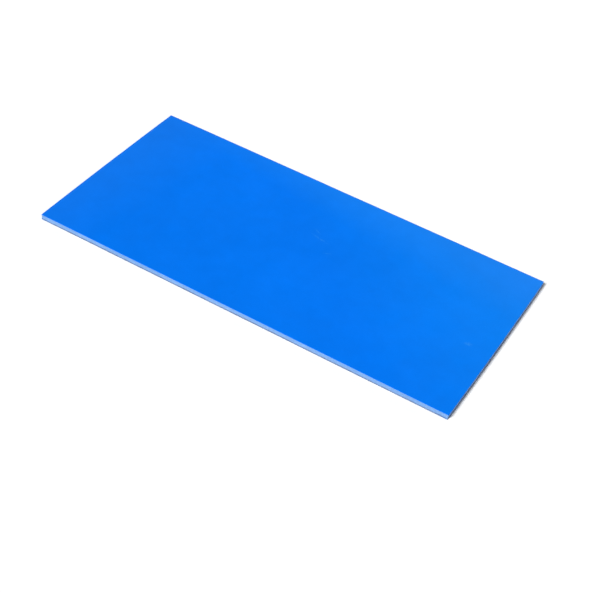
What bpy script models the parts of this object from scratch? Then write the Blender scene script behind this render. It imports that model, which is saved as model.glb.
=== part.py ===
"""Thermal pad sheet: a flat slab of soft thermal silicone with a blue release film on its face.

Metres, +Z up. The sheet lies on Z = 0 with its length along X and its width along Y, and the
origin is at the centre of its underside. The slab was cut from a wider sheet together with its
film, so both pieces share one outline: straight long sides, ends that bow a little outward at
mid width, and corners that the blade left slightly round.
"""

import bpy
from mathutils import Vector

# Driving dimensions of the cut sheet
LENGTH = 0.400  # overall, from one end to the other at mid width
WIDTH = 0.200
END_BOW = 0.0005  # how far the middle of each end stands out past its corners
CORNER_RADIUS = 0.001

# Driving dimensions of the layers
PAD_THICKNESS = 0.005
PAD_EDGE_ROUNDING = 0.0003  # soft arris along the top and bottom of the cut
FILM_THICKNESS = 0.0001
FILM_SEAT_GAP = 0.0003  # clearance between the pad's face and the film that lies on it

# Steps that the curves are drawn with
END_STEPS = 8
CORNER_STEPS = 3
ROUNDING_RESOLUTION = 1

# Finishes, with linear colours
SILICONE_BLUE = (0.195, 0.366, 0.775, 1.0)
SILICONE_ROUGHNESS = 0.75
FILM_BLUE = (0.001, 0.178, 0.895, 1.0)
FILM_ROUGHNESS = 0.3


def clear_scene():
    """Start from an empty scene."""
    for existing in list(bpy.data.objects):
        bpy.data.objects.remove(existing, do_unlink=True)


def make_material(name, colour, roughness):
    """A plain Principled material."""
    material = bpy.data.materials.new(name)
    material.use_nodes = True
    shader = material.node_tree.nodes["Principled BSDF"]
    shader.inputs["Base Color"].default_value = colour
    shader.inputs["Roughness"].default_value = roughness
    shader.inputs["Metallic"].default_value = 0.0
    material.diffuse_color = colour
    return material


def round_corner(before, tip, after):
    """Points of a curve that leaves the straight sides at before and after, short of the tip."""
    points = []
    for step in range(CORNER_STEPS + 1):
        t = step / CORNER_STEPS
        points.append(before.lerp(tip, t).lerp(tip.lerp(after, t), t))
    return points


def cut_end(side):
    """Points along one short end with its two corners, counter-clockwise; side is 1 at +X, -1 at -X."""
    outward = Vector((side, 0.0))
    corner_x = side * (LENGTH / 2 - END_BOW)
    first = Vector((corner_x, -side * WIDTH / 2))
    last = Vector((corner_x, side * WIDTH / 2))

    def bowed(t):
        return first.lerp(last, t) + outward * END_BOW * 4 * t * (1 - t)

    trim = CORNER_RADIUS / WIDTH
    edge = [bowed(trim + (1 - 2 * trim) * step / END_STEPS) for step in range(END_STEPS + 1)]
    inset = outward * CORNER_RADIUS
    near_corner = round_corner(first - inset, first, edge[0])
    far_corner = round_corner(edge[-1], last, last - inset)
    return near_corner + edge[1:-1] + far_corner


def cut_outline():
    """The closed outline that the pad and its film share."""
    return cut_end(1) + cut_end(-1)


def make_layer(name, thickness, edge_rounding, underside_z, material, collection):
    """One layer of the sheet: the outline filled and extruded, with its arrises rounded."""
    curve = bpy.data.curves.new(name, type="CURVE")
    curve.dimensions = "2D"
    curve.fill_mode = "BOTH"
    curve.extrude = thickness / 2 - edge_rounding
    curve.bevel_depth = edge_rounding
    curve.bevel_resolution = ROUNDING_RESOLUTION
    curve.offset = -edge_rounding
    outline = cut_outline()
    spline = curve.splines.new("POLY")
    spline.points.add(len(outline) - 1)
    for point, corner in zip(spline.points, outline):
        point.co = (corner.x, corner.y, 0.0, 1.0)
    spline.use_cyclic_u = True
    curve.materials.append(material)
    layer = bpy.data.objects.new(name, curve)
    layer.location.z = underside_z + thickness / 2
    collection.objects.link(layer)
    return layer


def make_silicone_pad(collection):
    """The heat-conducting slab, which lies on the floor."""
    silicone = make_material("silicone", SILICONE_BLUE, SILICONE_ROUGHNESS)
    return make_layer("silicone_pad", PAD_THICKNESS, PAD_EDGE_ROUNDING, 0.0, silicone, collection)


def make_release_film(collection):
    """The thin blue film that covers the pad's whole face until the pad is used."""
    film = make_material("film", FILM_BLUE, FILM_ROUGHNESS)
    seat_z = PAD_THICKNESS + FILM_SEAT_GAP
    return make_layer("release_film", FILM_THICKNESS, 0.0, seat_z, film, collection)


def main():
    clear_scene()
    sheet = bpy.data.collections.new("thermal_pad_sheet")
    bpy.context.scene.collection.children.link(sheet)
    make_silicone_pad(sheet)
    make_release_film(sheet)


main()
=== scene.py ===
import math
from typing import NamedTuple

import bpy
import numpy as np
from mathutils import Matrix, Vector
from mathutils.geometry import delaunay_2d_cdt


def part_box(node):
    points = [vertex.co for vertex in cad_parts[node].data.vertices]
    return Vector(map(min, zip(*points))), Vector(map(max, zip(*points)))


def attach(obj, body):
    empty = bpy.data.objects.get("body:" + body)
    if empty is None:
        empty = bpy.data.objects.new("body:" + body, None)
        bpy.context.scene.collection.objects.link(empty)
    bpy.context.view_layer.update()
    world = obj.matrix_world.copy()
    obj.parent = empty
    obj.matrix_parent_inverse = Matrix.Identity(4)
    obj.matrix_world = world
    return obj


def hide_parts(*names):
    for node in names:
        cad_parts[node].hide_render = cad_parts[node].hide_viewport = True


# Thermal pad sheet, dressed: the soft silicone slab with its knife-cut sides, and the thin blue
# release film that was cut together with it. Metres, +Z up, the length along X.

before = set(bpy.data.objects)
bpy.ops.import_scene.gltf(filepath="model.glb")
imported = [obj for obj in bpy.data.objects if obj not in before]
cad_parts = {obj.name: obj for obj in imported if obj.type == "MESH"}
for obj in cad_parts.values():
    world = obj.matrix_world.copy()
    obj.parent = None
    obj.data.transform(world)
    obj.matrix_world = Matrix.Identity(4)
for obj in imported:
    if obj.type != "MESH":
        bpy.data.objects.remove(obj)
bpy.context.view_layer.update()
_, pad_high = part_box("silicone_pad")
film_low, film_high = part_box("release_film")

MM = 0.001

# Outline that both pieces share, as the solids have it
HALF_LENGTH = pad_high.x
HALF_WIDTH = pad_high.y
END_BOW = 0.5 * MM
CORNER_RADIUS = 1.0 * MM
CUT_STEP = 0.7 * MM  # spacing of the points along the outline
CORNER_STEPS = 8

# The cut: how far the blade strayed inward and the scores it left, both as wavelength and height
STRAY_SEED = 11
STRAY_WAVES = ((230 * MM, 0.06 * MM), (90 * MM, 0.035 * MM), (21 * MM, 0.012 * MM), (6 * MM, 0.005 * MM))
SCORE_SEED = 23
SCORE_WAVES = ((9 * MM, 0.020 * MM), (3.1 * MM, 0.014 * MM), (1.9 * MM, 0.010 * MM))
SCORE_SLANT = 0.45  # how far a score leans along the side for its drop
WAVE_NEIGHBOURS = (-1, 0, 1)  # each wave is joined by two that turn once less and once more in a round
WAVE_SHARES = (0.3, 0.7)  # least and greatest share of its height that each of the three has

# Profile of the cut sides
TOP_ARRIS = 0.25 * MM
BOTTOM_ARRIS = 0.25 * MM
BOTTOM_ARRIS_HEIGHT = 0.45 * MM
SIDE_HOLLOW = 0.16 * MM  # how far the middle of the side is drawn in
SIDE_DRAFT = 0.08 * MM  # how much further in its foot is than its top
ARRIS_ROWS = 5
WALL_ROWS = 9
SHARP_ANGLE = math.radians(50)

# Rings of points inside the edge, as inset and spacing, and the points over the rest of the face
INNER_RINGS = ((1.6 * MM, 1.1 * MM), (2.9 * MM, 1.7 * MM))
UNDERSIDE_LATTICE = 4.0 * MM
FACE_LATTICE = 2.2 * MM
LATTICE_MARGIN = 4.6 * MM
RECTANGLE = ((1, -1), (1, 1), (-1, 1), (-1, -1))  # its corners, counter-clockwise, in half sizes
TRIANGLES_INSIDE = 1  # the kind of result that is asked of the triangulation
SAME_POINT = 1e-9  # points closer than this count as one

# The film's lie on the pad
FILM_CLEARANCE = 0.010 * MM
FILM_EDGE_INSET = 0.02 * MM
FILM_EDGE_RINGS = (0.05 * MM, 0.10 * MM, 0.17 * MM, 0.30 * MM, 0.50 * MM)

# Slow waves in the face, as wavelength and height
FACE_SEED = 5
FACE_WAVES = ((150 * MM, 0.022 * MM), (62 * MM, 0.012 * MM), (24 * MM, 0.004 * MM))
WAVES_PER_BAND = 5
WAVE_STRETCHES = (0.8, 1.3)  # least and greatest length of a wave, as a share of its band's
FACE_HEADROOM = 0.002 * MM  # how far the face's highest point stays below the solid's

# Shallow dimples in the film, as x, y, radius and depth
DIMPLES = (
    (-140 * MM, -24 * MM, 4.5 * MM, 0.020 * MM),
    (-62 * MM, -22 * MM, 4.0 * MM, 0.018 * MM),
    (-41 * MM, -16 * MM, 3.5 * MM, 0.018 * MM),
    (-18 * MM, -10 * MM, 4.5 * MM, 0.016 * MM),
    (33 * MM, -49 * MM, 4.0 * MM, 0.020 * MM),
    (72 * MM, -52 * MM, 5.0 * MM, 0.018 * MM),
    (121 * MM, -16 * MM, 4.0 * MM, 0.016 * MM),
)
DIMPLE_STEEPNESS = 2.0  # how fast a dimple fades out towards its radius


def arch(t):
    """A parabola that is 0 at both ends and 1 in the middle."""
    return 4 * t * (1 - t)


def quadratic(before, tip, after, steps):
    """Points of a round corner from before to after, pulled towards the tip."""
    t = np.linspace(0.0, 1.0, steps + 1)[:, None]
    return before * (1 - t) ** 2 + tip * 2 * t * (1 - t) + after * t**2


def straight(start, finish, step):
    """Evenly spaced points between two places, both left out."""
    count = max(1, round(float(np.linalg.norm(finish - start)) / step))
    t = (np.arange(1, count) / count)[:, None]
    return start + (finish - start) * t


def cut_end(side):
    """The bowed short end at +X or -X with its two corners, counter-clockwise."""
    corner_x = side * (HALF_LENGTH - END_BOW)
    first = np.array((corner_x, -side * HALF_WIDTH))
    last = np.array((corner_x, side * HALF_WIDTH))
    outward = np.array((side, 0.0))
    trim = CORNER_RADIUS / (2 * HALF_WIDTH)
    count = round(2 * HALF_WIDTH / CUT_STEP)
    t = np.linspace(trim, 1 - trim, count + 1)[:, None]
    edge = first + (last - first) * t + outward * END_BOW * arch(t)
    inset = outward * CORNER_RADIUS
    near_corner = quadratic(first - inset, first, edge[0], CORNER_STEPS)
    far_corner = quadratic(edge[-1], last, last - inset, CORNER_STEPS)
    return np.concatenate([near_corner, edge[1:-1], far_corner])


def cut_outline():
    """The closed outline, its outward directions, the distance run along it and its whole length."""
    right, left = cut_end(1), cut_end(-1)
    far_side = straight(right[-1], left[0], CUT_STEP)
    near_side = straight(left[-1], right[0], CUT_STEP)
    points = np.concatenate([right, far_side, left, near_side])
    along = np.roll(points, -1, 0) - np.roll(points, 1, 0)
    along /= np.linalg.norm(along, axis=1)[:, None]
    outward = np.stack([along[:, 1], -along[:, 0]], 1)
    steps = np.linalg.norm(np.roll(points, -1, 0) - points, axis=1)
    run = np.concatenate([[0.0], np.cumsum(steps)[:-1]])
    return points, outward, run, float(steps.sum())


OUTLINE, OUTWARD, RUN, PERIMETER = cut_outline()


def ring_noise(run, waves, seed):
    """Smooth noise round the closed outline: whole numbers of waves, so that its ends meet."""
    random = np.random.default_rng(seed)
    total = np.zeros(np.shape(run))
    for length, height in waves:
        turns = max(1, round(PERIMETER / length))
        for extra in WAVE_NEIGHBOURS:
            phase = random.uniform(0, 2 * math.pi)
            share = random.uniform(*WAVE_SHARES)
            total += height * share * np.sin(2 * math.pi * (turns + extra) * run / PERIMETER + phase)
    return total


def face_noise(x, y, waves, seed):
    """Smooth noise over the face, as crossing waves in all directions."""
    random = np.random.default_rng(seed)
    total = np.zeros(np.shape(x))
    for length, height in waves:
        for _ in range(WAVES_PER_BAND):
            heading = random.uniform(0, math.pi)
            stretch = random.uniform(*WAVE_STRETCHES)
            phase = random.uniform(0, 2 * math.pi)
            distance = x * math.cos(heading) + y * math.sin(heading)
            wave = np.sin(2 * math.pi * distance / (length * stretch) + phase)
            total += height / math.sqrt(WAVES_PER_BAND) * wave
    return total


STRAY = ring_noise(RUN, STRAY_WAVES, STRAY_SEED)
STRAY -= STRAY.min()


def face_dip(x, y):
    """How far waves and dimples lower the face; waves alone may also raise it."""
    dip = face_noise(x, y, FACE_WAVES, FACE_SEED)
    for centre_x, centre_y, radius, depth in DIMPLES:
        away = ((x - centre_x) ** 2 + (y - centre_y) ** 2) / radius**2
        dip = dip + depth * np.exp(-DIMPLE_STEEPNESS * away)
    return dip


GRID_X, GRID_Y = np.meshgrid(
    np.arange(-HALF_LENGTH, HALF_LENGTH, FACE_LATTICE), np.arange(-HALF_WIDTH, HALF_WIDTH, FACE_LATTICE)
)
LEAST_DIP = float(face_dip(GRID_X, GRID_Y).min()) - FACE_HEADROOM


def face_z(x, y, level):
    """Height of a surface that follows the film's face, and nowhere rises above level."""
    return level - (face_dip(x, y) - LEAST_DIP)


def arris_drop(inset, radius):
    """How far a round arris has fallen below the face at that inset from the side."""
    reach = np.clip(radius - inset, 0.0, radius)
    return radius - np.sqrt(radius**2 - reach**2)


def inner_ring(inset, spacing):
    """Points round a plain rectangle that lies inside the outline."""
    reach = np.array((HALF_LENGTH - inset, HALF_WIDTH - inset))
    corners = [reach * turn for turn in RECTANGLE]
    sides = []
    for corner, following in zip(corners, corners[1:] + corners[:1]):
        sides.append(corner[None, :])
        sides.append(straight(corner, following, spacing))
    return np.concatenate(sides)


def lattice(spacing):
    """Points in staggered rows over the middle of the face."""
    reach_x = HALF_LENGTH - LATTICE_MARGIN
    reach_y = HALF_WIDTH - LATTICE_MARGIN
    row_gap = spacing * math.sqrt(3) / 2
    rows = round(2 * reach_y / row_gap)
    columns = round(2 * reach_x / spacing)
    points = []
    for row in range(rows + 1):
        y = -reach_y + 2 * reach_y * row / rows
        staggered = row % 2
        for column in range(columns + 1 - staggered):
            points.append((-reach_x + 2 * reach_x * (column + staggered / 2) / columns, y))
    return np.array(points)


def fill_face(rim, spacing):
    """Triangles over the area inside a rim of points, with rings near the rim and a lattice within.

    Returns the points in the plane, the rim's first, and the triangles, counter-clockwise.
    """
    rings = [inner_ring(inset, ring_spacing) for inset, ring_spacing in INNER_RINGS]
    points = np.concatenate([rim, *rings, lattice(spacing)])
    placed = [Vector(point) for point in points.tolist()]
    outline = [list(range(len(rim)))]
    _, _, faces, origins, _, _ = delaunay_2d_cdt(placed, [], outline, TRIANGLES_INSIDE, SAME_POINT)
    triangles = [[origins[corner][0] for corner in face] for face in faces]
    return points, triangles


class Shell:
    """Collects points and faces of one closed piece."""

    def __init__(self):
        self.points = []
        self.faces = []
        self.count = 0

    def add(self, flat, z):
        """Adds points of the plane at their heights, and returns the first one's number."""
        first = self.count
        self.points.append(np.column_stack([flat, np.broadcast_to(z, len(flat))]))
        self.count += len(flat)
        return first

    def band(self, upper, lower, length):
        """Quads between two closed rings of as many points, facing outward."""
        for i in range(length):
            j = (i + 1) % length
            self.faces.append((upper + i, lower + i, lower + j, upper + j))

    def cover(self, ring, first_inner, rim_length, triangles, upward):
        """Triangles whose points are a ring's first and then the inner ones."""
        for triangle in triangles:
            numbers = [ring + i if i < rim_length else first_inner + i - rim_length for i in triangle]
            self.faces.append(tuple(numbers if upward else numbers[::-1]))

    def build(self, name):
        """The finished object, smooth but for its real edges."""
        mesh = bpy.data.meshes.new(name)
        mesh.from_pydata(np.concatenate(self.points).tolist(), [], self.faces)
        mesh.validate()
        mesh.update()
        mesh.shade_smooth()
        mesh.set_sharp_from_angle(angle=SHARP_ANGLE)
        piece = bpy.data.objects.new(name, mesh)
        bpy.context.scene.collection.objects.link(piece)
        return piece


def side_rows(height):
    """The cut side from the top ring to the bottom ring, as drop below the face and inset."""
    rows = []
    for step in range(ARRIS_ROWS):
        turn = math.pi / 2 * step / ARRIS_ROWS
        rows.append((TOP_ARRIS * (1 - math.cos(turn)), TOP_ARRIS * (1 - math.sin(turn))))
    wall = height - TOP_ARRIS - BOTTOM_ARRIS_HEIGHT
    for step in range(WALL_ROWS + 1):
        t = step / WALL_ROWS
        rows.append((TOP_ARRIS + wall * t, SIDE_HOLLOW * arch(t) + SIDE_DRAFT * t))
    for step in range(1, ARRIS_ROWS + 1):
        turn = math.pi / 2 * step / ARRIS_ROWS
        drop = height - BOTTOM_ARRIS_HEIGHT * (1 - math.sin(turn))
        rows.append((drop, SIDE_DRAFT + BOTTOM_ARRIS * (1 - math.cos(turn))))
    return rows


def make_pad():
    """The silicone slab: hollowed, scored sides between a small top arris and a softer bottom one."""
    shell = Shell()
    height = film_low.z - FILM_CLEARANCE
    count = len(OUTLINE)
    rings = []
    for drop, inset in side_rows(height):
        on_wall = TOP_ARRIS <= drop <= height - BOTTOM_ARRIS_HEIGHT
        score = ring_noise(RUN + SCORE_SLANT * drop, SCORE_WAVES, SCORE_SEED) if on_wall else 0.0
        flat = OUTLINE - OUTWARD * (STRAY + inset + np.abs(score))[:, None]
        settle = 1 - drop / height
        z = (height - drop) - (face_dip(*flat.T) - LEAST_DIP) * settle
        rings.append(shell.add(flat, z))
    for upper, lower in zip(rings, rings[1:]):
        shell.band(upper, lower, count)
    for number, spacing, upward in ((0, FACE_LATTICE, True), (len(rings) - 1, UNDERSIDE_LATTICE, False)):
        flat, triangles = fill_face(shell.points[number][:, :2], spacing)
        inner = flat[count:]
        z = face_z(*inner.T, height) if upward else 0.0
        shell.cover(rings[number], shell.add(inner, z), count, triangles, upward)
    return shell.build("silicone_slab")


def make_film():
    """The release film: it follows the pad's face and bends down over the pad's arris."""
    shell = Shell()
    count = len(OUTLINE)
    insets = [*reversed(FILM_EDGE_RINGS), FILM_EDGE_INSET]

    def ring(inset, level):
        flat = OUTLINE - OUTWARD * (STRAY + inset)[:, None]
        return shell.add(flat, face_z(*flat.T, level) - arris_drop(inset, TOP_ARRIS))

    upper = [ring(inset, film_high.z) for inset in insets]
    lower = [ring(inset, film_low.z) for inset in reversed(insets)]
    rings = upper + lower
    for above, below in zip(rings, rings[1:]):
        shell.band(above, below, count)
    for number, level, upward in ((0, film_high.z, True), (len(rings) - 1, film_low.z, False)):
        flat, triangles = fill_face(shell.points[number][:, :2], FACE_LATTICE)
        inner = flat[count:]
        first_inner = shell.add(inner, face_z(*inner.T, level))
        shell.cover(rings[number], first_inner, count, triangles, upward)
    return shell.build("blue_release_film")


# Materials


class Pattern(NamedTuple):
    """A noise whose blobs measure about size, and which part of its range gives what."""

    size: float
    detail: float = 2.0
    roughness: float = 0.5
    part: tuple = (0.3, 0.7)
    gives: tuple = (0.0, 1.0)


class Relief(NamedTuple):
    """A noise whose blobs measure about size, as bumps of a height."""

    size: float
    detail: float
    height: float


FILM_BLUE = (0.0002, 0.148, 0.728)
# The film's own blue, then three painted-light colours: a painted sheen towards the far right, a painted
# reflection along the far edge, and painted shade, greyed by a faint painted reflection, at the left end
FILM_PAINTED_SHEEN = (0.0016, 0.177, 0.731)
FILM_PAINTED_REFLECTION = (0.0080, 0.181, 0.717)
FILM_PAINTED_SHADE = (0.0045, 0.149, 0.680)
FILM_SCUFF = (0.025, 0.240, 0.740)
FILM_SPECULAR = 0.05
FILM_ROUGHNESS = Pattern(30 * MM, gives=(0.34, 0.44))
FILM_RIPPLE = Relief(2.5 * MM, 2.0, 0.006 * MM)
FILM_TEXTURE = Relief(0.35 * MM, 2.0, 0.002 * MM)

# Shades of the film: a drift over the whole face, mottling where it touches the pad, fine grain
FILM_SHADES = (
    Pattern(90 * MM, detail=1.0, gives=(0.97, 1.03)),
    Pattern(16 * MM, detail=5.0, roughness=0.6, part=(0.25, 0.75), gives=(0.962, 1.038)),
    Pattern(0.7 * MM, detail=1.0, gives=(0.985, 1.015)),
)

# Painted reflection and shade on the film, where its tint changes slowly: its colour there, heading in
# degrees, and distances along it
PAINTED_LIGHT_ZONES = (
    (FILM_PAINTED_SHEEN, 46.7, 20 * MM, 170 * MM),
    (FILM_PAINTED_REFLECTION, 82.0, 58 * MM, 130 * MM),
    (FILM_PAINTED_SHADE, 172.0, 130 * MM, 215 * MM),
)

# Light scuffs on the film, as x, y, half length, half width and heading in degrees
SCUFFS = (
    (11 * MM, 26 * MM, 12.0 * MM, 1.2 * MM, -12),
    (4 * MM, 34 * MM, 6.0 * MM, 0.9 * MM, -25),
    (27 * MM, 12 * MM, 5.0 * MM, 0.8 * MM, 30),
    (178 * MM, -16 * MM, 4.5 * MM, 3.0 * MM, 20),
)
SCUFF_DEPTH = 5.0 * MM  # how far a scuff's spot reaches up and down from the face
SCUFF_BREAKS = Pattern(1.2 * MM, part=(0.4, 0.6))
SCUFF_SHARE = 0.8  # how much of the film's colour a scuff covers at its middle
SCUFF_ROUGHNESS = 0.2  # added to the film's roughness there

PAD_BLUE = (0.152, 0.290, 0.600)
PAD_PALE = (0.185, 0.335, 0.650)
PAD_GRAIN = (0.090, 0.185, 0.400)
PAD_FILLER = (0.240, 0.400, 0.700)
PAD_CLOUDS = Pattern(18 * MM, detail=4.0, roughness=0.6)
PAD_ROUGHNESS = Pattern(4 * MM, gives=(0.66, 0.82))
PAD_TEXTURE = Relief(0.30 * MM, 3.0, 0.016 * MM)
PAD_SPECULAR = 0.30
DARK_FLECKS = Pattern(0.33 * MM, detail=1.0, part=(0.58, 0.70), gives=(0.0, 0.45))
PALE_FLECKS = Pattern(0.21 * MM, detail=1.0, part=(0.60, 0.70), gives=(0.0, 0.38))
LEVEL_NORMAL = 0.8  # a face whose normal is less upright than this belongs to the cut

# The cut sides: painted shadow along the foot, grey on the long sides and painted shade in a deeper blue
# on the ends, with a ragged upper edge; and the lines of the blade's drag
CUT_BLUE = (0.128, 0.255, 0.500)
CUT_PALE = (0.158, 0.295, 0.545)
# Painted contact shadow at the foot of the long sides, and painted shade at the foot of the ends
SIDE_PAINTED_SHADOW = (0.072, 0.096, 0.165)
END_PAINTED_SHADE = (0.026, 0.084, 0.245)
PAINTED_SHADE_TURN = (HALF_LENGTH - 12 * MM, HALF_LENGTH - 1 * MM)  # where the sides' foot turns into the ends'
PAINTED_SHADOW_FADE = (0.55 * MM, 2.2 * MM)  # heights between which the foot ends
PAINTED_SHADOW_SHARE = 0.9
PAINTED_SHADOW_RAGGEDNESS = Pattern(6 * MM, detail=4.0, roughness=0.6, gives=(-0.35 * MM, 0.35 * MM))
DRAG_SLANT = math.radians(12)
DRAG_STRETCH = 0.10  # a line's width as a share of its length
DRAG_RELIEF = Relief(0.5 * MM, 3.0, 0.060 * MM)
DRAG_PART = (0.35, 0.65)
DRAG_SHADE = (0.94, 1.04)

# A Mix node's sockets for colours, which share their names with those for numbers
MIX_COLOURS = (6, 7)
MIX_RESULT = 2


def new_material(name):
    """A node material with its Principled shader."""
    material = bpy.data.materials.new(name)
    material.use_nodes = True
    return material, material.node_tree, material.node_tree.nodes["Principled BSDF"]


def object_coordinates(tree):
    """Metres in the frame, as a texture coordinate."""
    return tree.nodes.new("ShaderNodeTexCoord").outputs["Object"]


def component(tree, vector, axis):
    """The X, Y or Z of a vector."""
    node = tree.nodes.new("ShaderNodeSeparateXYZ")
    tree.links.new(vector, node.inputs[0])
    return node.outputs[axis]


def noise(tree, where, size, detail, roughness=0.5):
    """Noise whose blobs measure about size metres."""
    node = tree.nodes.new("ShaderNodeTexNoise")
    node.inputs["Scale"].default_value = 1.0 / size
    node.inputs["Detail"].default_value = detail
    node.inputs["Roughness"].default_value = roughness
    tree.links.new(where, node.inputs["Vector"])
    return node.outputs["Fac"]


def spread(tree, value, part, gives=(0.0, 1.0)):
    """Maps the range part onto the range gives, and clamps."""
    node = tree.nodes.new("ShaderNodeMapRange")
    for name, number in zip(("From Min", "From Max", "To Min", "To Max"), (*part, *gives)):
        node.inputs[name].default_value = number
    tree.links.new(value, node.inputs["Value"])
    return node.outputs["Result"]


def pattern(tree, where, look):
    """The value of a Pattern."""
    value = noise(tree, where, look.size, look.detail, look.roughness)
    return spread(tree, value, look.part, look.gives)


def combine(tree, how, *values):
    """One Math node; each value is a number or a socket."""
    node = tree.nodes.new("ShaderNodeMath")
    node.operation = how
    for socket, value in zip(node.inputs, values):
        if isinstance(value, float):
            socket.default_value = value
        else:
            tree.links.new(value, socket)
    return node.outputs[0]


def blend_colours(tree, factor, first, second, how="MIX"):
    """Mixes two colours, each a tuple or a socket."""
    node = tree.nodes.new("ShaderNodeMix")
    node.data_type = "RGBA"
    node.blend_type = how
    if isinstance(factor, float):
        node.inputs["Factor"].default_value = factor
    else:
        tree.links.new(factor, node.inputs["Factor"])
    for number, colour in zip(MIX_COLOURS, (first, second)):
        if isinstance(colour, tuple):
            node.inputs[number].default_value = (*colour, 1.0)
        else:
            tree.links.new(colour, node.inputs[number])
    return node.outputs[MIX_RESULT]


def shaded(tree, colour, shade):
    """A colour multiplied by a number near 1."""
    return blend_colours(tree, 1.0, colour, shade, "MULTIPLY")


def bump(tree, value, height, normal=None):
    """Relief of that height in metres, on top of the normal that it is given."""
    node = tree.nodes.new("ShaderNodeBump")
    node.inputs["Distance"].default_value = height
    tree.links.new(value, node.inputs["Height"])
    if normal is not None:
        tree.links.new(normal, node.inputs["Normal"])
    return node.outputs["Normal"]


def relief(tree, where, look, normal=None):
    """The bumps of a Relief."""
    return bump(tree, noise(tree, where, look.size, look.detail), look.height, normal)


def soft_spot(tree, where, x, y, half_length, half_width, heading):
    """A soft oval on the film that is 1 at its middle and 0 at its rim."""
    place = tree.nodes.new("ShaderNodeMapping")
    place.vector_type = "TEXTURE"
    place.inputs["Location"].default_value = (x, y, film_high.z)
    place.inputs["Rotation"].default_value = (0.0, 0.0, math.radians(heading))
    place.inputs["Scale"].default_value = (half_length, half_width, SCUFF_DEPTH)
    tree.links.new(where, place.inputs["Vector"])
    spot = tree.nodes.new("ShaderNodeTexGradient")
    spot.gradient_type = "SPHERICAL"
    tree.links.new(place.outputs["Vector"], spot.inputs["Vector"])
    return spot.outputs["Fac"]


def scuff_strength(tree, where):
    """0 to 1 over the light scuffs, broken up by fine noise."""
    scuffed = 0.0
    for scuff in SCUFFS:
        scuffed = combine(tree, "MAXIMUM", soft_spot(tree, where, *scuff), scuffed)
    return combine(tree, "MULTIPLY", scuffed, pattern(tree, where, SCUFF_BREAKS))


def slope(tree, where, heading, low, high):
    """0 to 1 across the face along a heading, between two distances from the middle."""
    turn = math.radians(heading)
    along = tree.nodes.new("ShaderNodeVectorMath")
    along.operation = "DOT_PRODUCT"
    along.inputs[1].default_value = (math.cos(turn), math.sin(turn), 0.0)
    tree.links.new(where, along.inputs[0])
    return spread(tree, along.outputs["Value"], (low, high))


def film_material():
    """Saturated blue film: painted reflection and shade in broad zones, slow drifts of tint, mottling
    where it touches the pad, a satin shine.
    """
    material, tree, shader = new_material("release_film_blue")
    where = object_coordinates(tree)
    colour = FILM_BLUE
    # Painted reflection and shade, blended in broad zones across the face
    for painted_colour, heading, start, full in PAINTED_LIGHT_ZONES:
        colour = blend_colours(tree, slope(tree, where, heading, start, full), colour, painted_colour)
    for shade in FILM_SHADES:
        colour = shaded(tree, colour, pattern(tree, where, shade))
    scuffed = scuff_strength(tree, where)
    colour = blend_colours(tree, combine(tree, "MULTIPLY", scuffed, SCUFF_SHARE), colour, FILM_SCUFF)
    tree.links.new(colour, shader.inputs["Base Color"])
    dulled = combine(tree, "MULTIPLY", scuffed, SCUFF_ROUGHNESS)
    roughness = combine(tree, "ADD", pattern(tree, where, FILM_ROUGHNESS), dulled)
    tree.links.new(roughness, shader.inputs["Roughness"])
    ripple = relief(tree, where, FILM_RIPPLE)
    tree.links.new(relief(tree, where, FILM_TEXTURE, ripple), shader.inputs["Normal"])
    shader.inputs["Specular IOR Level"].default_value = FILM_SPECULAR
    return material


def add_painted_foot_shadow(tree, where, colour):
    """Painted shadow along the foot of the cut: grey along the sides, painted shade in a deeper blue on
    the ends.
    """
    from_middle = combine(tree, "ABSOLUTE", component(tree, where, "X"))
    painted_shadow_colour = blend_colours(tree, spread(tree, from_middle, PAINTED_SHADE_TURN), SIDE_PAINTED_SHADOW, END_PAINTED_SHADE)
    level = combine(tree, "ADD", component(tree, where, "Z"), pattern(tree, where, PAINTED_SHADOW_RAGGEDNESS))
    return blend_colours(tree, spread(tree, level, PAINTED_SHADOW_FADE, (PAINTED_SHADOW_SHARE, 0.0)), colour, painted_shadow_colour)


def add_drag(tree, where, colour, normal):
    """Fine lines down the cut, aslant as the blade was drawn, in the colour and in the relief."""
    place = tree.nodes.new("ShaderNodeMapping")
    place.inputs["Rotation"].default_value = (0.0, DRAG_SLANT, 0.0)
    place.inputs["Scale"].default_value = (1.0, 1.0, DRAG_STRETCH)
    tree.links.new(where, place.inputs["Vector"])
    drag = noise(tree, place.outputs["Vector"], DRAG_RELIEF.size, DRAG_RELIEF.detail)
    colour = shaded(tree, colour, spread(tree, drag, DRAG_PART, DRAG_SHADE))
    return colour, bump(tree, drag, DRAG_RELIEF.height, normal)


def silicone_material(name, base, pale, cut):
    """Matt periwinkle silicone, full of fine ceramic grain, with the blade's drag lines on the cut sides
    and painted shadow along their foot.
    """
    material, tree, shader = new_material(name)
    where = object_coordinates(tree)
    colour = blend_colours(tree, pattern(tree, where, PAD_CLOUDS), base, pale)
    normal = relief(tree, where, PAD_TEXTURE)
    if cut:
        # Painted shadow along the foot of the cut sides
        colour = add_painted_foot_shadow(tree, where, colour)
        colour, normal = add_drag(tree, where, colour, normal)
    for flecks, fleck_colour in ((DARK_FLECKS, PAD_GRAIN), (PALE_FLECKS, PAD_FILLER)):
        colour = blend_colours(tree, pattern(tree, where, flecks), colour, fleck_colour)
    tree.links.new(colour, shader.inputs["Base Color"])
    tree.links.new(pattern(tree, where, PAD_ROUGHNESS), shader.inputs["Roughness"])
    tree.links.new(normal, shader.inputs["Normal"])
    shader.inputs["Specular IOR Level"].default_value = PAD_SPECULAR
    return material


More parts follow.
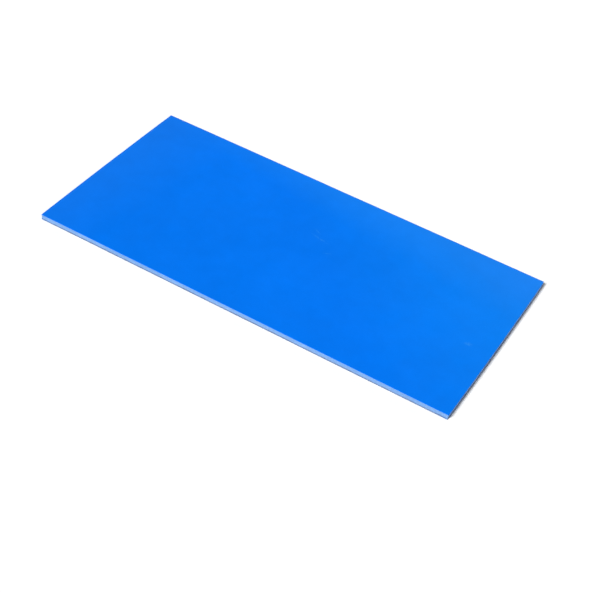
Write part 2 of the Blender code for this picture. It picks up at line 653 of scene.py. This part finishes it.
def dress_pad(pad):
    """Face material above and below, cut material on the sides."""
    pad.data.materials.append(silicone_material("silicone_face", PAD_BLUE, PAD_PALE, cut=False))
    pad.data.materials.append(silicone_material("silicone_cut", CUT_BLUE, CUT_PALE, cut=True))
    for face in pad.data.polygons:
        face.material_index = 1 if abs(face.normal.z) < LEVEL_NORMAL else 0


pad = make_pad()
dress_pad(pad)
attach(pad, "root")
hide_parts("silicone_pad")

film = make_film()
film.data.materials.append(film_material())
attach(film, "root")
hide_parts("release_film")


# Studio

FLOOR_HALF = 12.0
FLOOR_WHITE = (0.86, 0.86, 0.86)
FLOOR_ROUGHNESS = 0.9
FLOOR_SPECULAR = 0.1

KEY_ENERGY = 4.82
KEY_PLACE = (-0.24, -0.86, 0.84)  # for a sun only the direction from here to its target counts
KEY_TARGET = (0.0, 0.0, 0.0)
KEY_ANGLE = math.radians(22)

CARD_ENERGY = 13.0
CARD_PLACE = (0.9, 1.9, 0.60)
CARD_TARGET = (0.1, 0.0, 0.1)
CARD_SIZE = (2.4, 0.8)

HORIZON_GLOW = 0.60
OVERHEAD_GLOW = 0.05
SURROUND_FADE = (0.10, 0.55)  # heights of a direction between which the glow falls
BACKDROP_WHITE = 1.0


def make_floor():
    """A plain white floor, level with the pad's underside."""
    mesh = bpy.data.meshes.new("studio_floor")
    corners = [(x * FLOOR_HALF, y * FLOOR_HALF, 0.0) for x, y in RECTANGLE]
    mesh.from_pydata(corners, [], [range(len(corners))])
    floor = bpy.data.objects.new("studio_floor", mesh)
    material, _, shader = new_material("studio_white")
    shader.inputs["Base Color"].default_value = (*FLOOR_WHITE, 1.0)
    shader.inputs["Roughness"].default_value = FLOOR_ROUGHNESS
    shader.inputs["Specular IOR Level"].default_value = FLOOR_SPECULAR
    floor.data.materials.append(material)
    bpy.context.scene.collection.objects.link(floor)


def add_lamp(name, kind, energy, place, target):
    """A lamp at a place, turned to its target."""
    lamp = bpy.data.lights.new(name, kind)
    lamp.energy = energy
    holder = bpy.data.objects.new(name, lamp)
    holder.location = place
    holder.rotation_mode = "QUATERNION"
    holder.rotation_quaternion = (Vector(target) - Vector(place)).to_track_quat("-Z", "Y")
    bpy.context.scene.collection.objects.link(holder)
    return lamp


def make_lights():
    """A broad key from the front left, and a low card behind."""
    key = add_lamp("key", "SUN", KEY_ENERGY, KEY_PLACE, KEY_TARGET)
    key.angle = KEY_ANGLE
    card = add_lamp("back_card", "AREA", CARD_ENERGY, CARD_PLACE, CARD_TARGET)
    card.shape = "RECTANGLE"
    card.size, card.size_y = CARD_SIZE


def make_surround():
    """The studio's soft glow: dim overhead, brighter at the horizon, and white to the camera itself."""
    world = bpy.data.worlds.new("studio_surround")
    world.use_nodes = True
    tree = world.node_tree
    direction = tree.nodes.new("ShaderNodeTexCoord").outputs["Generated"]
    glow = spread(tree, component(tree, direction, "Z"), SURROUND_FADE, (HORIZON_GLOW, OVERHEAD_GLOW))
    seen = tree.nodes.new("ShaderNodeLightPath").outputs["Is Camera Ray"]
    strength = combine(tree, "MAXIMUM", glow, combine(tree, "MULTIPLY", seen, BACKDROP_WHITE))
    background = tree.nodes["Background"]
    background.inputs["Color"].default_value = (1.0, 1.0, 1.0, 1.0)
    tree.links.new(strength, background.inputs["Strength"])
    bpy.context.scene.world = world


# Camera, worked out from the four edges of the face
SENSOR_MM = 36.0
IMAGE_PIXELS = 592
FOCAL_PIXELS = 1303.3
ELEVATION = math.radians(41.396)
AZIMUTH = math.radians(24.380)
ROLL = math.radians(9.027)
DISTANCE = 1.1454  # from the middle of the film's face, along the camera's own axis
FRAME_RIGHT = -1.628 * MM  # how far right of the picture's centre the face's middle lies
FRAME_DOWN = -42.021 * MM  # how far below it


def make_camera():
    """The photograph's camera."""
    back = Vector((math.sin(AZIMUTH) * math.cos(ELEVATION), -math.cos(AZIMUTH) * math.cos(ELEVATION),
                   math.sin(ELEVATION)))
    level_right = (-back).cross(Vector((0, 0, 1))).normalized()
    level_up = level_right.cross(-back)
    right = math.cos(ROLL) * level_right + math.sin(ROLL) * level_up
    up = -math.sin(ROLL) * level_right + math.cos(ROLL) * level_up
    place = Vector((0, 0, film_high.z)) + back * DISTANCE - right * FRAME_RIGHT + up * FRAME_DOWN
    camera = bpy.data.objects.new("camera", bpy.data.cameras.new("camera"))
    camera.data.sensor_width = SENSOR_MM
    camera.data.lens = FOCAL_PIXELS * SENSOR_MM / IMAGE_PIXELS
    turn = Matrix((right, up, back)).transposed().to_4x4()
    camera.matrix_world = Matrix.Translation(place) @ turn
    bpy.context.scene.collection.objects.link(camera)
    bpy.context.scene.camera = camera


make_floor()
make_lights()
make_surround()
make_camera()
bpy.context.scene.view_settings.view_transform = "Standard"
